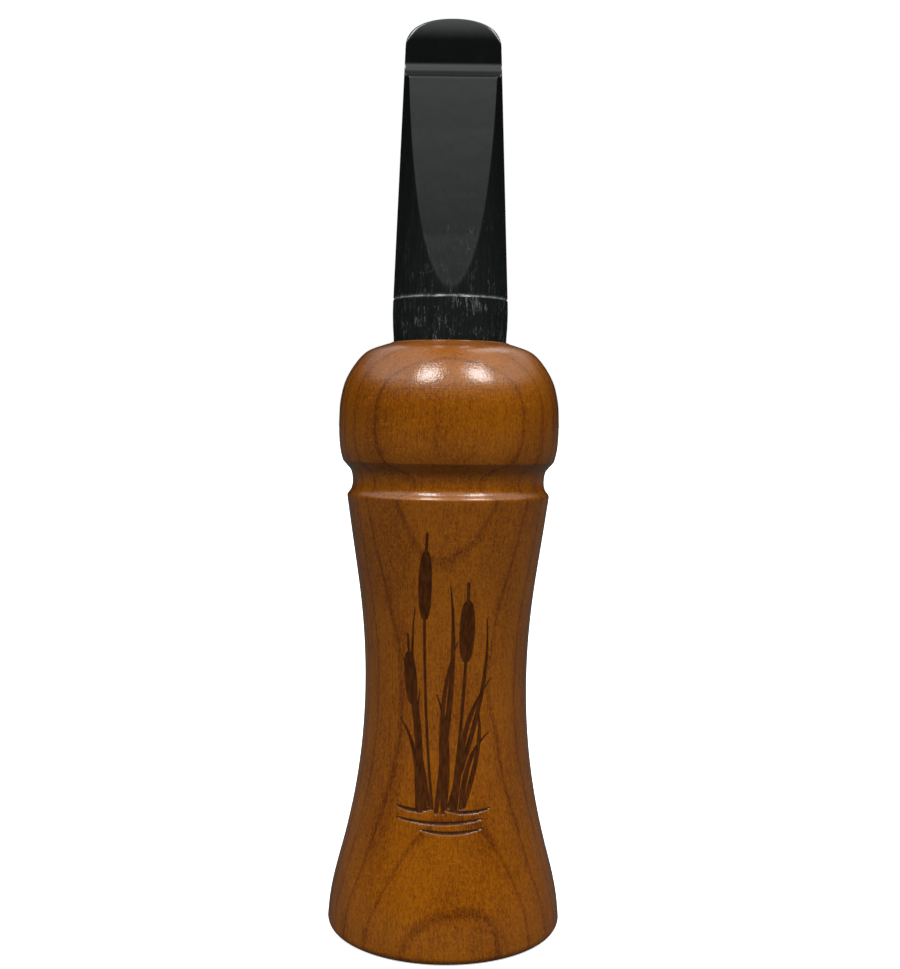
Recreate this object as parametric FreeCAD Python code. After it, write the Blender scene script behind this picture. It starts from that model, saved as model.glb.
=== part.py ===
import FreeCAD, Part
import math
import os

# Open-reed mouth call, in millimetres. +Z runs from the bell end to the lip, and the origin is the centre
# of the bell's flat face. The long bevel of the tone board faces -Y and the reed lies on its +Y side.

# Overall
CALL_HEIGHT = 127.0
BARREL_HEIGHT = 81.8

# Barrel: outside. Stations are (radius, height) pairs that a turned curve passes through.
BELL_RADIUS = 16.15
BELL_FACE_RADIUS = 15.05
BELL_CHAMFER = (15.84, 0.31)
WAIST = (11.35, 32.55)
CREST = (14.2, 59.75)
FLARE = [
    (BELL_RADIUS, 1.1),
    (15.93, 3.5),
    (14.19, 11.15),
    (12.33, 20.15),
    WAIST,
    (12.04, 44.95),
    (13.36, 54.05),
    CREST,
]
GROOVE = [(13.95, 60.25), (13.45, 61.625), (13.75, 63.4)]
HEAD_START = (14.86, 64.6)
HEAD_WIDEST = (15.46, 69.0)
HEAD = [
    HEAD_START,
    HEAD_WIDEST,
    (15.38, 72.2),
    (14.73, 75.45),
    (13.55, 77.75),
    (11.59, 79.95),
    (9.7, 80.85),
]
MOUTH_RIM_RADIUS = 8.3
MOUTH_RIM_CHAMFER = (8.38, 81.45)

# Barrel: inside
BORE_RADIUS = 6.35
EXHAUST = [(BORE_RADIUS, 14.0), (7.3, 6.6), (9.6, 0.9)]
EXHAUST_FACE_RADIUS = 10.5
SOCKET_FLOOR = 62.35
PLUG_FIT = 0.03

# Tone board: body
PLUG_END = 62.65
PLUG_END_RADIUS = 7.72
PLUG_MOUTH_RADIUS = 7.95
PLUG_END_CHAMFER = 0.45
SWELL_RADIUS = 8.12
SWELL_HEIGHT = 85.65
RING_HEIGHT = 87.3
RING_RADIUS = 8.06
RING_DEPTH = 0.13
RING_HALF_WIDTH = 0.16
SNOUT_END_RADIUS = 6.62

# Tone board: bevel, cove and lip, as distances in front of the axis
BEVEL_START = 87.9
BEVEL_START_DEPTH = 8.03
BEVEL_MID = 103.0
BEVEL_MID_DEPTH = 5.55
BEVEL_END = 118.05
COVE_RADIUS = 2.7
LIP_DEPTH = 0.6
LIP_ROLL_START = 123.8
LIP_ROLL_MID_DEPTH = 0.52
LIP_TIP_DEPTH = 0.24
LIP_OUTLINE_START = 123.6
LIP_OUTLINE_HALF_WIDTH = 6.74

# Tone board: reed bed, channel and bore on the far side
SHOULDER = 88.3
BED_OFFSET = 3.0
BED_CURVE_START = 90.3
BED_CURVE_RADIUS = 280.0
CHANNEL_WIDTH = 3.6
CHANNEL_END = 121.0
CHANNEL_FLOOR_MID = 105.0
CHANNEL_FLOOR_MID_OFFSET = -0.7
CHANNEL_FLOOR_OFFSET = -1.9
CHANNEL_ROOT = 85.0
CHANNEL_ROOF_OFFSET = 1.5
CHANNEL_ROUND = 0.9
TONE_BORE_RADIUS = 3.0
TONE_BORE_OFFSET = -0.8
TONE_BORE_END = 87.0

# Reed and the key that wedges it
REED_THICKNESS = 0.35
REED_WIDTH = 12.0
REED_ROOT = 82.3
REED_TIP = 126.2
REED_TIP_LENGTH = 3.2
SLOT_FLOOR = 82.2
REED_SLOT_WIDTH = 12.3
WEDGE_FIT = 0.02
WEDGE_WIDTH = 9.44
WEDGE_ROOT = 82.4
WEDGE_FRONT = 91.8
WEDGE_ROOF_LOW = 5.1
WEDGE_ROOF_HIGH = 5.45
WEDGE_HEAD_LIFT = 0.3
WEDGE_HEAD_TOP = 6.1
WEDGE_NOSE_TOP = 4.3
WEDGE_NOSE_ROUND = 1.4
WEDGE_NOSE_BULGE = 0.38

# How far the cutting shapes reach past the part: sideways, and beyond a face that they cut through
BIG = 20.0
OVERCUT = 1.0


def rz(radius, height):
    """A point of a turned profile: radius from the axis and height."""
    return FreeCAD.Vector(radius, 0, height)


def stations(pairs):
    """The points of a turned profile for a list of (radius, height) pairs."""
    return [rz(radius, height) for radius, height in pairs]


def yz(offset, height):
    """A point of a side profile: offset along Y and height."""
    return FreeCAD.Vector(0, offset, height)


def line(a, b):
    return Part.LineSegment(a, b).toShape()


def arc(a, middle, b):
    return Part.Arc(a, middle, b).toShape()


def spline(points):
    curve = Part.BSplineCurve()
    curve.interpolate(points)
    return curve.toShape()


def corner_arc(a, corner, b):
    """A quarter round from a to b that bulges towards the corner, for equal legs along the axes."""
    centre = a + b - corner
    middle = centre + (corner - centre).normalize() * (a - centre).Length
    return arc(a, middle, b)


def bulged_middle(a, b, bulge):
    """The middle of a shallow arc in the YZ plane, bulged to the left of the way from a to b."""
    chord = b - a
    outward = FreeCAD.Vector(0, -chord.z, chord.y).normalize()
    return (a + b) / 2 + outward * bulge


def turned(edges):
    """The solid of revolution about Z of a closed half profile."""
    return Part.Face(Part.Wire(edges)).revolve(FreeCAD.Vector(), FreeCAD.Vector(0, 0, 1), 360)


def slab(edges, width):
    """A closed side profile in the YZ plane, made into a slab of that width about X = 0."""
    face = Part.Face(Part.Wire(edges))
    face.translate(FreeCAD.Vector(-width / 2, 0, 0))
    return face.extrude(FreeCAD.Vector(width, 0, 0))


def polyline(points):
    """The edges of a closed polygon."""
    return [line(a, b) for a, b in zip(points, points[1:] + points[:1])]


def block(x_width, y_low, y_high, z_low, z_high):
    corner = FreeCAD.Vector(-x_width / 2, y_low, z_low)
    return Part.makeBox(x_width, y_high - y_low, z_high - z_low, corner)


def plug_radius(height):
    """Radius of the tapered plug at a height inside the socket."""
    share = (height - PLUG_END) / (BARREL_HEIGHT - PLUG_END)
    return PLUG_END_RADIUS + share * (PLUG_MOUTH_RADIUS - PLUG_END_RADIUS)


def bed_offset(height):
    """Offset of the sounding bed at a height: straight at the root, then falling away on a large radius."""
    run = max(0.0, height - BED_CURVE_START)
    return BED_OFFSET - BED_CURVE_RADIUS + math.sqrt(BED_CURVE_RADIUS**2 - run**2)


def barrel_outside():
    """The turned outside, from the bell's flat face up to the mouth's rim."""
    return [
        line(rz(BELL_FACE_RADIUS, 0), rz(*BELL_CHAMFER)),
        line(rz(*BELL_CHAMFER), rz(*FLARE[0])),
        spline(stations(FLARE)),
        line(rz(*CREST), rz(*GROOVE[0])),
        spline(stations(GROOVE)),
        line(rz(*GROOVE[-1]), rz(*HEAD_START)),
        spline(stations(HEAD)),
        line(rz(*HEAD[-1]), rz(*MOUTH_RIM_CHAMFER)),
        line(rz(*MOUTH_RIM_CHAMFER), rz(MOUTH_RIM_RADIUS, BARREL_HEIGHT)),
    ]


def barrel_inside():
    """The inside, from the mouth down the socket and the bore to the bell's flat face."""
    mouth = rz(plug_radius(BARREL_HEIGHT) + PLUG_FIT, BARREL_HEIGHT)
    socket_end = rz(plug_radius(SOCKET_FLOOR) + PLUG_FIT, SOCKET_FLOOR)
    bore_top = rz(BORE_RADIUS, SOCKET_FLOOR)
    return [
        line(rz(MOUTH_RIM_RADIUS, BARREL_HEIGHT), mouth),
        line(mouth, socket_end),
        line(socket_end, bore_top),
        line(bore_top, rz(*EXHAUST[0])),
        spline(stations(EXHAUST)),
        line(rz(*EXHAUST[-1]), rz(EXHAUST_FACE_RADIUS, 0)),
        line(rz(EXHAUST_FACE_RADIUS, 0), rz(BELL_FACE_RADIUS, 0)),
    ]


def barrel():
    """Turned wooden barrel: bell, waist, lanyard groove and domed head, bored through."""
    return turned(barrel_outside() + barrel_inside())


def tone_board_blank():
    """The turned blank: friction plug, slight swell, scribed ring and tapered snout."""
    bottom = rz(0, PLUG_END)
    end_inner = rz(PLUG_END_RADIUS - PLUG_END_CHAMFER, PLUG_END)
    chamfer_height = PLUG_END + PLUG_END_CHAMFER
    end_outer = rz(plug_radius(chamfer_height), chamfer_height)
    mouth = rz(PLUG_MOUTH_RADIUS, BARREL_HEIGHT)
    ring_low = rz(RING_RADIUS, RING_HEIGHT - RING_HALF_WIDTH)
    ring_floor = rz(RING_RADIUS - RING_DEPTH, RING_HEIGHT)
    ring_high = rz(RING_RADIUS, RING_HEIGHT + RING_HALF_WIDTH)
    snout_end = rz(SNOUT_END_RADIUS, CALL_HEIGHT)
    top = rz(0, CALL_HEIGHT)
    return turned(
        [
            line(bottom, end_inner),
            line(end_inner, end_outer),
            line(end_outer, mouth),
            arc(mouth, rz(SWELL_RADIUS, SWELL_HEIGHT), ring_low),
            line(ring_low, ring_floor),
            line(ring_floor, ring_high),
            line(ring_high, snout_end),
            line(snout_end, top),
            line(top, bottom),
        ]
    )


def bevel_cut():
    """What the long bevel, the cove and the thin lip take off the near side."""
    start = yz(-BEVEL_START_DEPTH, BEVEL_START)
    cove_low = yz(-LIP_DEPTH - COVE_RADIUS, BEVEL_END)
    cove_corner = yz(-LIP_DEPTH, BEVEL_END)
    cove_high = yz(-LIP_DEPTH, BEVEL_END + COVE_RADIUS)
    roll = yz(-LIP_DEPTH, LIP_ROLL_START)
    roll_mid = yz(-LIP_ROLL_MID_DEPTH, (LIP_ROLL_START + CALL_HEIGHT) / 2)
    tip = yz(-LIP_TIP_DEPTH, CALL_HEIGHT)
    above = yz(-LIP_TIP_DEPTH, CALL_HEIGHT + OVERCUT)
    outer_top = yz(-BIG, CALL_HEIGHT + OVERCUT)
    outer_low = yz(-BIG, BEVEL_START)
    edges = [
        arc(start, yz(-BEVEL_MID_DEPTH, BEVEL_MID), cove_low),
        corner_arc(cove_low, cove_corner, cove_high),
        line(cove_high, roll),
        arc(roll, roll_mid, tip),
        line(tip, above),
        line(above, outer_top),
        line(outer_top, outer_low),
        line(outer_low, start),
    ]
    return slab(edges, 2 * BIG)


def lip_outline_cut():
    """What is trimmed from the tip to give it a half-elliptical outline."""
    above = block(2 * BIG, -BIG, BIG, LIP_OUTLINE_START, CALL_HEIGHT + OVERCUT)
    length = CALL_HEIGHT - LIP_OUTLINE_START
    centre = FreeCAD.Vector(0, 0, LIP_OUTLINE_START)
    side = centre + FreeCAD.Vector(LIP_OUTLINE_HALF_WIDTH, 0, 0)
    tip = centre + FreeCAD.Vector(0, 0, length)
    outline = Part.Ellipse(side, tip, centre).toShape()
    keep = Part.Face(Part.Wire([outline]))
    keep.translate(FreeCAD.Vector(0, -BIG, 0))
    return above.cut(keep.extrude(FreeCAD.Vector(0, 2 * BIG, 0)))


def bed_cut():
    """What the sounding bed takes off the far side, from the shoulder to the tip."""
    root = yz(BED_OFFSET, SHOULDER)
    curve_start = yz(BED_OFFSET, BED_CURVE_START)
    middle_height = (BED_CURVE_START + CALL_HEIGHT) / 2
    curve_middle = yz(bed_offset(middle_height), middle_height)
    curve_end = yz(bed_offset(CALL_HEIGHT + OVERCUT), CALL_HEIGHT + OVERCUT)
    edges = [
        line(root, curve_start),
        arc(curve_start, curve_middle, curve_end),
        line(curve_end, yz(BIG, CALL_HEIGHT + OVERCUT)),
        line(yz(BIG, CALL_HEIGHT + OVERCUT), yz(BIG, SHOULDER)),
        line(yz(BIG, SHOULDER), root),
    ]
    return slab(edges, 2 * BIG)


def channel_cut():
    """The tone channel: a round-bottomed groove that deepens from near the tip into the bore."""
    front = yz(bed_offset(CHANNEL_END), CHANNEL_END)
    middle = yz(CHANNEL_FLOOR_MID_OFFSET, CHANNEL_FLOOR_MID)
    back = yz(CHANNEL_FLOOR_OFFSET, CHANNEL_ROOT)
    roof = CHANNEL_ROOF_OFFSET
    edges = [
        arc(front, middle, back),
        line(back, yz(roof, CHANNEL_ROOT)),
        line(yz(roof, CHANNEL_ROOT), yz(roof, SHOULDER)),
        line(yz(roof, SHOULDER), yz(BED_OFFSET + OVERCUT, SHOULDER)),
        line(yz(BED_OFFSET + OVERCUT, SHOULDER), yz(BED_OFFSET + OVERCUT, CHANNEL_END)),
        line(yz(BED_OFFSET + OVERCUT, CHANNEL_END), front),
    ]
    groove = slab(edges, CHANNEL_WIDTH)
    floor_edges = [edge for edge in groove.Edges if isinstance(edge.Curve, Part.Circle)]
    return groove.makeFillet(CHANNEL_ROUND, floor_edges)


def bore_cut():
    """The flat-bottomed bore that carries the sound down through the plug."""
    start = FreeCAD.Vector(0, TONE_BORE_OFFSET, PLUG_END - OVERCUT)
    return Part.makeCylinder(TONE_BORE_RADIUS, TONE_BORE_END - start.z, start)


def wedge_side(fit):
    """Side profile of the tapered part of the wedge, or of its slot when fit is 0."""
    floor = BED_OFFSET + REED_THICKNESS + fit
    bottom = SLOT_FLOOR if fit == 0 else WEDGE_ROOT
    slope = (WEDGE_ROOF_HIGH - WEDGE_ROOF_LOW) / (SHOULDER - SLOT_FLOOR)
    roof_low = WEDGE_ROOF_LOW + slope * (bottom - SLOT_FLOOR) - fit
    return floor, bottom, roof_low, WEDGE_ROOF_HIGH - fit


def slot_cut():
    """The slot in the shoulder: a wide thin part for the reed and a tapered part for the wedge."""
    reed_top = BED_OFFSET + REED_THICKNESS + WEDGE_FIT
    reed_slot = block(REED_SLOT_WIDTH, BED_OFFSET, reed_top, SLOT_FLOOR, SHOULDER + OVERCUT)
    floor, bottom, roof_low, roof_high = wedge_side(0)
    wedge_slot = slab(
        polyline(
            [
                yz(floor, bottom),
                yz(roof_low, bottom),
                yz(roof_high, SHOULDER),
                yz(roof_high, SHOULDER + OVERCUT),
                yz(floor, SHOULDER + OVERCUT),
            ]
        ),
        WEDGE_WIDTH + 2 * WEDGE_FIT,
    )
    return reed_slot.fuse(wedge_slot)


def tone_board():
    """Tone board: plug, scribed ring, bevelled snout with cove and lip, sounding bed, channel and bore."""
    shape = tone_board_blank()
    for cut in (bore_cut, channel_cut, slot_cut, bed_cut, lip_outline_cut, bevel_cut):
        shape = shape.cut(cut())
    return shape.removeSplitter()


def reed():
    """Flat blade of polyester film with a half-elliptical tip, lying on the bed and in the slot."""
    half = REED_WIDTH / 2
    shoulder = REED_TIP - REED_TIP_LENGTH
    y = BED_OFFSET
    centre = FreeCAD.Vector(0, y, shoulder)
    ellipse = Part.Ellipse(centre + FreeCAD.Vector(half, 0, 0), FreeCAD.Vector(0, y, REED_TIP), centre)
    outline = Part.Face(Part.Wire([ellipse.toShape()]))
    tip = outline.extrude(FreeCAD.Vector(0, REED_THICKNESS, 0))
    blade = block(REED_WIDTH, y, y + REED_THICKNESS, REED_ROOT, shoulder)
    return blade.fuse(tip).removeSplitter()


def reed_wedge():
    """Tapered key over the reed's root, with a rounded head that stands out of the shoulder."""
    floor, bottom, roof_low, roof_high = wedge_side(WEDGE_FIT)
    head_low = SHOULDER + WEDGE_HEAD_LIFT
    round_start = yz(WEDGE_HEAD_TOP, WEDGE_FRONT - WEDGE_NOSE_ROUND)
    nose_top = yz(WEDGE_NOSE_TOP, WEDGE_FRONT)
    edges = [
        line(yz(floor, bottom), yz(roof_low, bottom)),
        line(yz(roof_low, bottom), yz(roof_high, SHOULDER)),
        line(yz(roof_high, SHOULDER), yz(roof_high, head_low)),
        line(yz(roof_high, head_low), yz(WEDGE_HEAD_TOP, head_low)),
        line(yz(WEDGE_HEAD_TOP, head_low), round_start),
        arc(round_start, bulged_middle(nose_top, round_start, WEDGE_NOSE_BULGE), nose_top),
        line(nose_top, yz(floor, WEDGE_FRONT)),
        line(yz(floor, WEDGE_FRONT), yz(floor, bottom)),
    ]
    return slab(edges, WEDGE_WIDTH)


def main():
    os.makedirs("parts", exist_ok=True)
    for make in (barrel, tone_board, reed, reed_wedge):
        make().exportStep(f"parts/{make.__name__}.step")


main()
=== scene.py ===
"""Looks of an open-reed mouth call: turned cherry barrel, black tone board, reed and wedge.

Every length in the classes is in millimetres, and meshes are made in metres in the part's own frame:
+Z runs from the bell to the lip, the bevelled side faces -Y and the reed lies on the +Y side.
"""

import logging
import math
from dataclasses import dataclass, field
from enum import Enum
from typing import Callable, Sequence

import bmesh
import bpy
import numpy as np
from mathutils import Matrix, Vector


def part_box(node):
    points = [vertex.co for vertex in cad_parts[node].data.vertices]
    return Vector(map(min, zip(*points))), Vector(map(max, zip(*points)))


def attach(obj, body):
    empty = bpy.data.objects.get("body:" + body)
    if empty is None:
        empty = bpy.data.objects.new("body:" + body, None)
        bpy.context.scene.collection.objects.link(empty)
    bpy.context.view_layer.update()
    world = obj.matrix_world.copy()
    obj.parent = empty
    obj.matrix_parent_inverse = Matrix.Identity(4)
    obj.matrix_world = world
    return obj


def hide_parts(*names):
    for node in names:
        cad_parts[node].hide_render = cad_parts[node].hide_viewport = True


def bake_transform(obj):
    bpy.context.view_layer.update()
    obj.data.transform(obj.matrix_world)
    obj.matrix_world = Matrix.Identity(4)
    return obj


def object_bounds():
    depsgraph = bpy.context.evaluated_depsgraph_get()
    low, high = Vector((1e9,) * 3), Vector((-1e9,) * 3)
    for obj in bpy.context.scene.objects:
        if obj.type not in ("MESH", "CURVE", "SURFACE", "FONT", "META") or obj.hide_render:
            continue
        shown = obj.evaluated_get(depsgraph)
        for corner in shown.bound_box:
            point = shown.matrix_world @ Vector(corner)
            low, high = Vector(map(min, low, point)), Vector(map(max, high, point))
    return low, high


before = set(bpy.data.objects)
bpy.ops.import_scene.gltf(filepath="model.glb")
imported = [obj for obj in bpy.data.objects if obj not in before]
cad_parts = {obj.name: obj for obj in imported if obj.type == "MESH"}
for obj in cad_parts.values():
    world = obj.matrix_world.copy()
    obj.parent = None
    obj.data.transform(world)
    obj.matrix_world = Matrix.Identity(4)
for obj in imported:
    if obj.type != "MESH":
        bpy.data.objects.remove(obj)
CAD_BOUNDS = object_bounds()

Pair = tuple[float, float]
Triple = tuple[float, float, float]
Curve = Sequence[Pair]
Colour = Triple

LOG = logging.getLogger("mouth_call")
MM = 0.001
FAR = 20.0  # millimetres, past every surface of the call


class Body(Enum):
    """The bodies that pieces ride on."""

    BARREL = "barrel"
    TONE_BOARD = "tone_board"
    REED = "reed"
    WEDGE = "reed_wedge"


class Slot(Enum):
    """The material slots that the record names."""

    CHERRY = "cherry_wood"
    ACRYLIC = "black_acrylic"
    FILM = "reed_film"
    WEDGE = "wedge_plastic"


# ---- Curves and meshes ----


def running_length(path: np.ndarray) -> np.ndarray:
    """Gives how far along a path each of its points lies."""
    return np.concatenate([[0.0], np.cumsum(np.linalg.norm(np.diff(path, axis=0), axis=1))])


def smooth_path(points: Curve, step: float) -> np.ndarray:
    """Runs a natural cubic spline through points, by chord length.

    Args:
        points: The points that the curve passes through.
        step: The longest distance between two samples.

    Returns:
        The samples, one row each, with both ends included.
    """
    knots = np.array(points, float)
    chords = np.linalg.norm(np.diff(knots, axis=0), axis=1)
    place = running_length(knots)
    count = len(knots)
    matrix = np.zeros((count, count))
    right = np.zeros_like(knots)
    matrix[0, 0] = matrix[-1, -1] = 1.0
    for i in range(1, count - 1):
        before, after = chords[i - 1], chords[i]
        matrix[i, i - 1 : i + 2] = before, 2 * (before + after), after
        slope_after = (knots[i + 1] - knots[i]) / after
        slope_before = (knots[i] - knots[i - 1]) / before
        right[i] = 6 * (slope_after - slope_before)
    bend = np.linalg.solve(matrix, right)
    samples = np.linspace(0, place[-1], max(3, int(place[-1] / step) + 1))
    span = np.clip(np.searchsorted(place, samples, side="right") - 1, 0, count - 2)
    width = chords[span][:, None]
    low = (place[span + 1] - samples)[:, None] / width
    high = 1.0 - low
    curve = (low**3 - low) * bend[span] + (high**3 - high) * bend[span + 1]
    return low * knots[span] + high * knots[span + 1] + curve * width**2 / 6


def arc_path(
    centre: Pair, radius: float, start_deg: float, end_deg: float, count: int
) -> np.ndarray:
    """Samples a circular arc.

    Args:
        centre: The circle's centre.
        radius: Its radius.
        start_deg: The angle of the first sample.
        end_deg: The angle of the last sample.
        count: How many samples to make.

    Returns:
        The samples, one row each.
    """
    angles = np.radians(np.linspace(start_deg, end_deg, count))
    return np.array(centre) + radius * np.stack([np.cos(angles), np.sin(angles)], axis=1)


def resample(path: np.ndarray, step: float) -> np.ndarray:
    """Spaces the points of an open path evenly, about one step apart."""
    place = running_length(path)
    samples = np.linspace(0, place[-1], int(place[-1] / step) + 1)
    return np.stack([np.interp(samples, place, path[:, k]) for k in range(path.shape[1])], axis=1)


def soften(path: np.ndarray, step: float, radius: float, closed: bool = False) -> np.ndarray:
    """Eases the corners of an evenly spaced path.

    Args:
        path: The path's points.
        step: The distance between neighbours.
        radius: How far the easing reaches, as the spread of a bell curve.
        closed: Whether the path's end joins its start.

    Returns:
        The eased path, with as many points.
    """
    reach = max(1, int(3 * radius / step))
    offsets = np.arange(-reach, reach + 1) * step
    weights = np.exp(-0.5 * (offsets / radius) ** 2)
    weights /= weights.sum()
    if closed:
        padded = np.concatenate([path[-reach:], path, path[:reach]])
    else:
        before = 2 * path[0] - path[reach:0:-1]
        after = 2 * path[-1] - path[-2 : -reach - 2 : -1]
        padded = np.concatenate([before, path, after])
    columns = [np.convolve(padded[:, k], weights, mode="valid") for k in range(path.shape[1])]
    return np.stack(columns, axis=1)


def thin_out(path: np.ndarray, turn: float, longest: Callable[[np.ndarray], float]) -> np.ndarray:
    """Keeps fewer points of a fine path: close together where it turns, further apart where it is straight.

    Args:
        path: A fine path.
        turn: The largest turn between two kept points, in radians.
        longest: Gives the longest distance allowed at a point.

    Returns:
        The kept points, with both ends.
    """
    steps = np.diff(path, axis=0)
    heading = np.unwrap(np.arctan2(steps[:, 1], steps[:, 0]))
    lengths = np.linalg.norm(steps, axis=1)
    kept = [0]
    turned = 0.0
    run = 0.0
    for i in range(1, len(path) - 1):
        turned += abs(heading[i] - heading[i - 1])
        run += lengths[i - 1]
        if turned >= turn or run >= longest(path[i]):
            kept.append(i)
            turned, run = 0.0, 0.0
    kept.append(len(path) - 1)
    return path[kept]


def add_object(name: str, data: bpy.types.ID) -> bpy.types.Object:
    """Puts a mesh, lamp or camera into the scene as a new object."""
    obj = bpy.data.objects.new(name, data)
    bpy.context.scene.collection.objects.link(obj)
    return obj


def skin(name: str, rings: np.ndarray, closed_rows: bool = False) -> bpy.types.Object:
    """Makes one mesh through a stack of rings that all have the same number of points.

    Args:
        name: The object's name.
        rings: Points in millimetres, indexed by ring, then place round the ring.
        closed_rows: Whether the last ring joins the first, as in a turned tube.

    Returns:
        The new object, smooth shaded, with open ends closed by one face each.
    """
    rows, columns, _ = rings.shape
    vertices = (rings * MM).reshape(-1, 3)
    lower = np.arange(rows if closed_rows else rows - 1)[:, None] * columns
    upper = (lower + columns) % (rows * columns)
    here = np.arange(columns)
    following = (here + 1) % columns
    corners = (lower + here, lower + following, upper + following, upper + here)
    faces = np.stack([corner.ravel() for corner in corners], axis=1).tolist()
    if not closed_rows:
        faces.append(here[::-1].tolist())
        faces.append(((rows - 1) * columns + here).tolist())
    mesh = bpy.data.meshes.new(name)
    mesh.from_pydata(vertices.tolist(), [], faces)
    mesh.validate()
    mesh.shade_smooth()
    return add_object(name, mesh)


def tidy_mesh(obj: bpy.types.Object, weld: float, sharp_deg: float) -> None:
    """Welds doubled points, turns faces outward and marks the sharp edges.

    Args:
        obj: The object to tidy.
        weld: Points closer than this, in millimetres, become one.
        sharp_deg: Edges that turn by more than this stay crisp.
    """
    work = bmesh.new()
    work.from_mesh(obj.data)
    bmesh.ops.remove_doubles(work, verts=work.verts, dist=weld * MM)
    bmesh.ops.dissolve_degenerate(work, edges=work.edges, dist=weld * MM / 2)
    bmesh.ops.recalc_face_normals(work, faces=work.faces)
    work.to_mesh(obj.data)
    work.free()
    obj.data.shade_smooth()
    obj.data.set_sharp_from_angle(angle=math.radians(sharp_deg))


def node_box(node: str) -> np.ndarray:
    """Gives a CAD node's lowest and highest corners as two rows, in millimetres."""
    return np.array([list(corner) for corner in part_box(node)]) / MM


def turning_axis() -> Pair:
    """Gives where the call's axis stands, from the middle of the turned board's box, in millimetres."""
    middle = node_box("tone_board").mean(axis=0)
    return float(middle[0]), float(middle[1])


def land_on(obj: bpy.types.Object, own: Sequence[float], cad: Sequence[float]) -> None:
    """Moves a mesh so that a point of its own lands on a point of the CAD, both in millimetres."""
    obj.data.transform(Matrix.Translation((Vector(cad) - Vector(own)) * MM))


def half_chord(radius: np.ndarray, depth: np.ndarray) -> np.ndarray:
    """Gives the half width of a flat cut that stands at a depth through a round."""
    return np.sqrt(np.maximum(radius**2 - np.minimum(depth, radius) ** 2, 0.0))


def side_angle(across: np.ndarray, radius: np.ndarray) -> np.ndarray:
    """Gives the angle round the axis at which a round reaches a distance across."""
    return np.arcsin(np.clip(across / radius, -1, 1))


def rising(z: np.ndarray, start: float, end: float) -> np.ndarray:
    """Gives 0 before a start and 1 past an end, and rises evenly between them."""
    return np.clip((z - start) / (end - start), 0.0, 1.0)


def at_heights(x: np.ndarray, y: np.ndarray, z: np.ndarray) -> np.ndarray:
    """Joins each row's points to its height, as points indexed by row, then column."""
    return np.stack([x, y, np.broadcast_to(z[:, None], x.shape)], axis=2)


def float_attribute(obj: bpy.types.Object, name: str, values: np.ndarray) -> None:
    """Stores one number for each point of a mesh."""
    layer = obj.data.attributes.new(name, "FLOAT", "POINT")
    layer.data.foreach_set("value", values.astype(np.float32))


def box_object(name: str, low: Sequence[float], high: Sequence[float]) -> bpy.types.Object:
    """Makes a closed block between two corners, in millimetres, to cut other meshes with."""
    work = bmesh.new()
    bmesh.ops.create_cube(work, size=1.0)
    low_corner, high_corner = Vector(low) * MM, Vector(high) * MM
    middle, span = (low_corner + high_corner) / 2, high_corner - low_corner
    for vertex in work.verts:
        vertex.co = Vector(middle[k] + vertex.co[k] * span[k] for k in range(3))
    mesh = bpy.data.meshes.new(name)
    work.to_mesh(mesh)
    work.free()
    return add_object(name, mesh)


def apply_modifiers(obj: bpy.types.Object) -> None:
    """Turns an object's modifiers into its mesh."""
    graph = bpy.context.evaluated_depsgraph_get()
    finished = bpy.data.meshes.new_from_object(obj.evaluated_get(graph))
    obj.modifiers.clear()
    obj.data = finished


def cut_away(obj: bpy.types.Object, cutter: bpy.types.Object) -> None:
    """Cuts one closed mesh out of another and removes the cutter."""
    modifier = obj.modifiers.new("cut", "BOOLEAN")
    modifier.operation = "DIFFERENCE"
    modifier.solver = "EXACT"
    modifier.object = cutter
    apply_modifiers(obj)
    bpy.data.objects.remove(cutter)


# ---- Shader graphs ----


class Signal:
    """A socket's value, which takes part in plain sums."""

    def __init__(self, graph: "Graph", socket: bpy.types.NodeSocket) -> None:
        """Takes the graph that the socket belongs to, and the socket."""
        self.graph = graph
        self.socket = socket

    def __add__(self, other: "Value") -> "Signal":
        """Adds a number."""
        return self.graph.math("ADD", self, other)

    def __sub__(self, other: "Value") -> "Signal":
        """Takes a number away."""
        return self.graph.math("SUBTRACT", self, other)

    def __rsub__(self, other: "Value") -> "Signal":
        """Takes this away from a number."""
        return self.graph.math("SUBTRACT", other, self)

    def __mul__(self, other: "Value") -> "Signal":
        """Multiplies by a number."""
        return self.graph.math("MULTIPLY", self, other)

    def __truediv__(self, other: "Value") -> "Signal":
        """Divides by a number."""
        return self.graph.math("DIVIDE", self, other)

    def __pow__(self, other: "Value") -> "Signal":
        """Raises to a power."""
        return self.graph.math("POWER", self, other)


Value = float | Sequence[float] | bpy.types.NodeSocket | Signal


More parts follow.
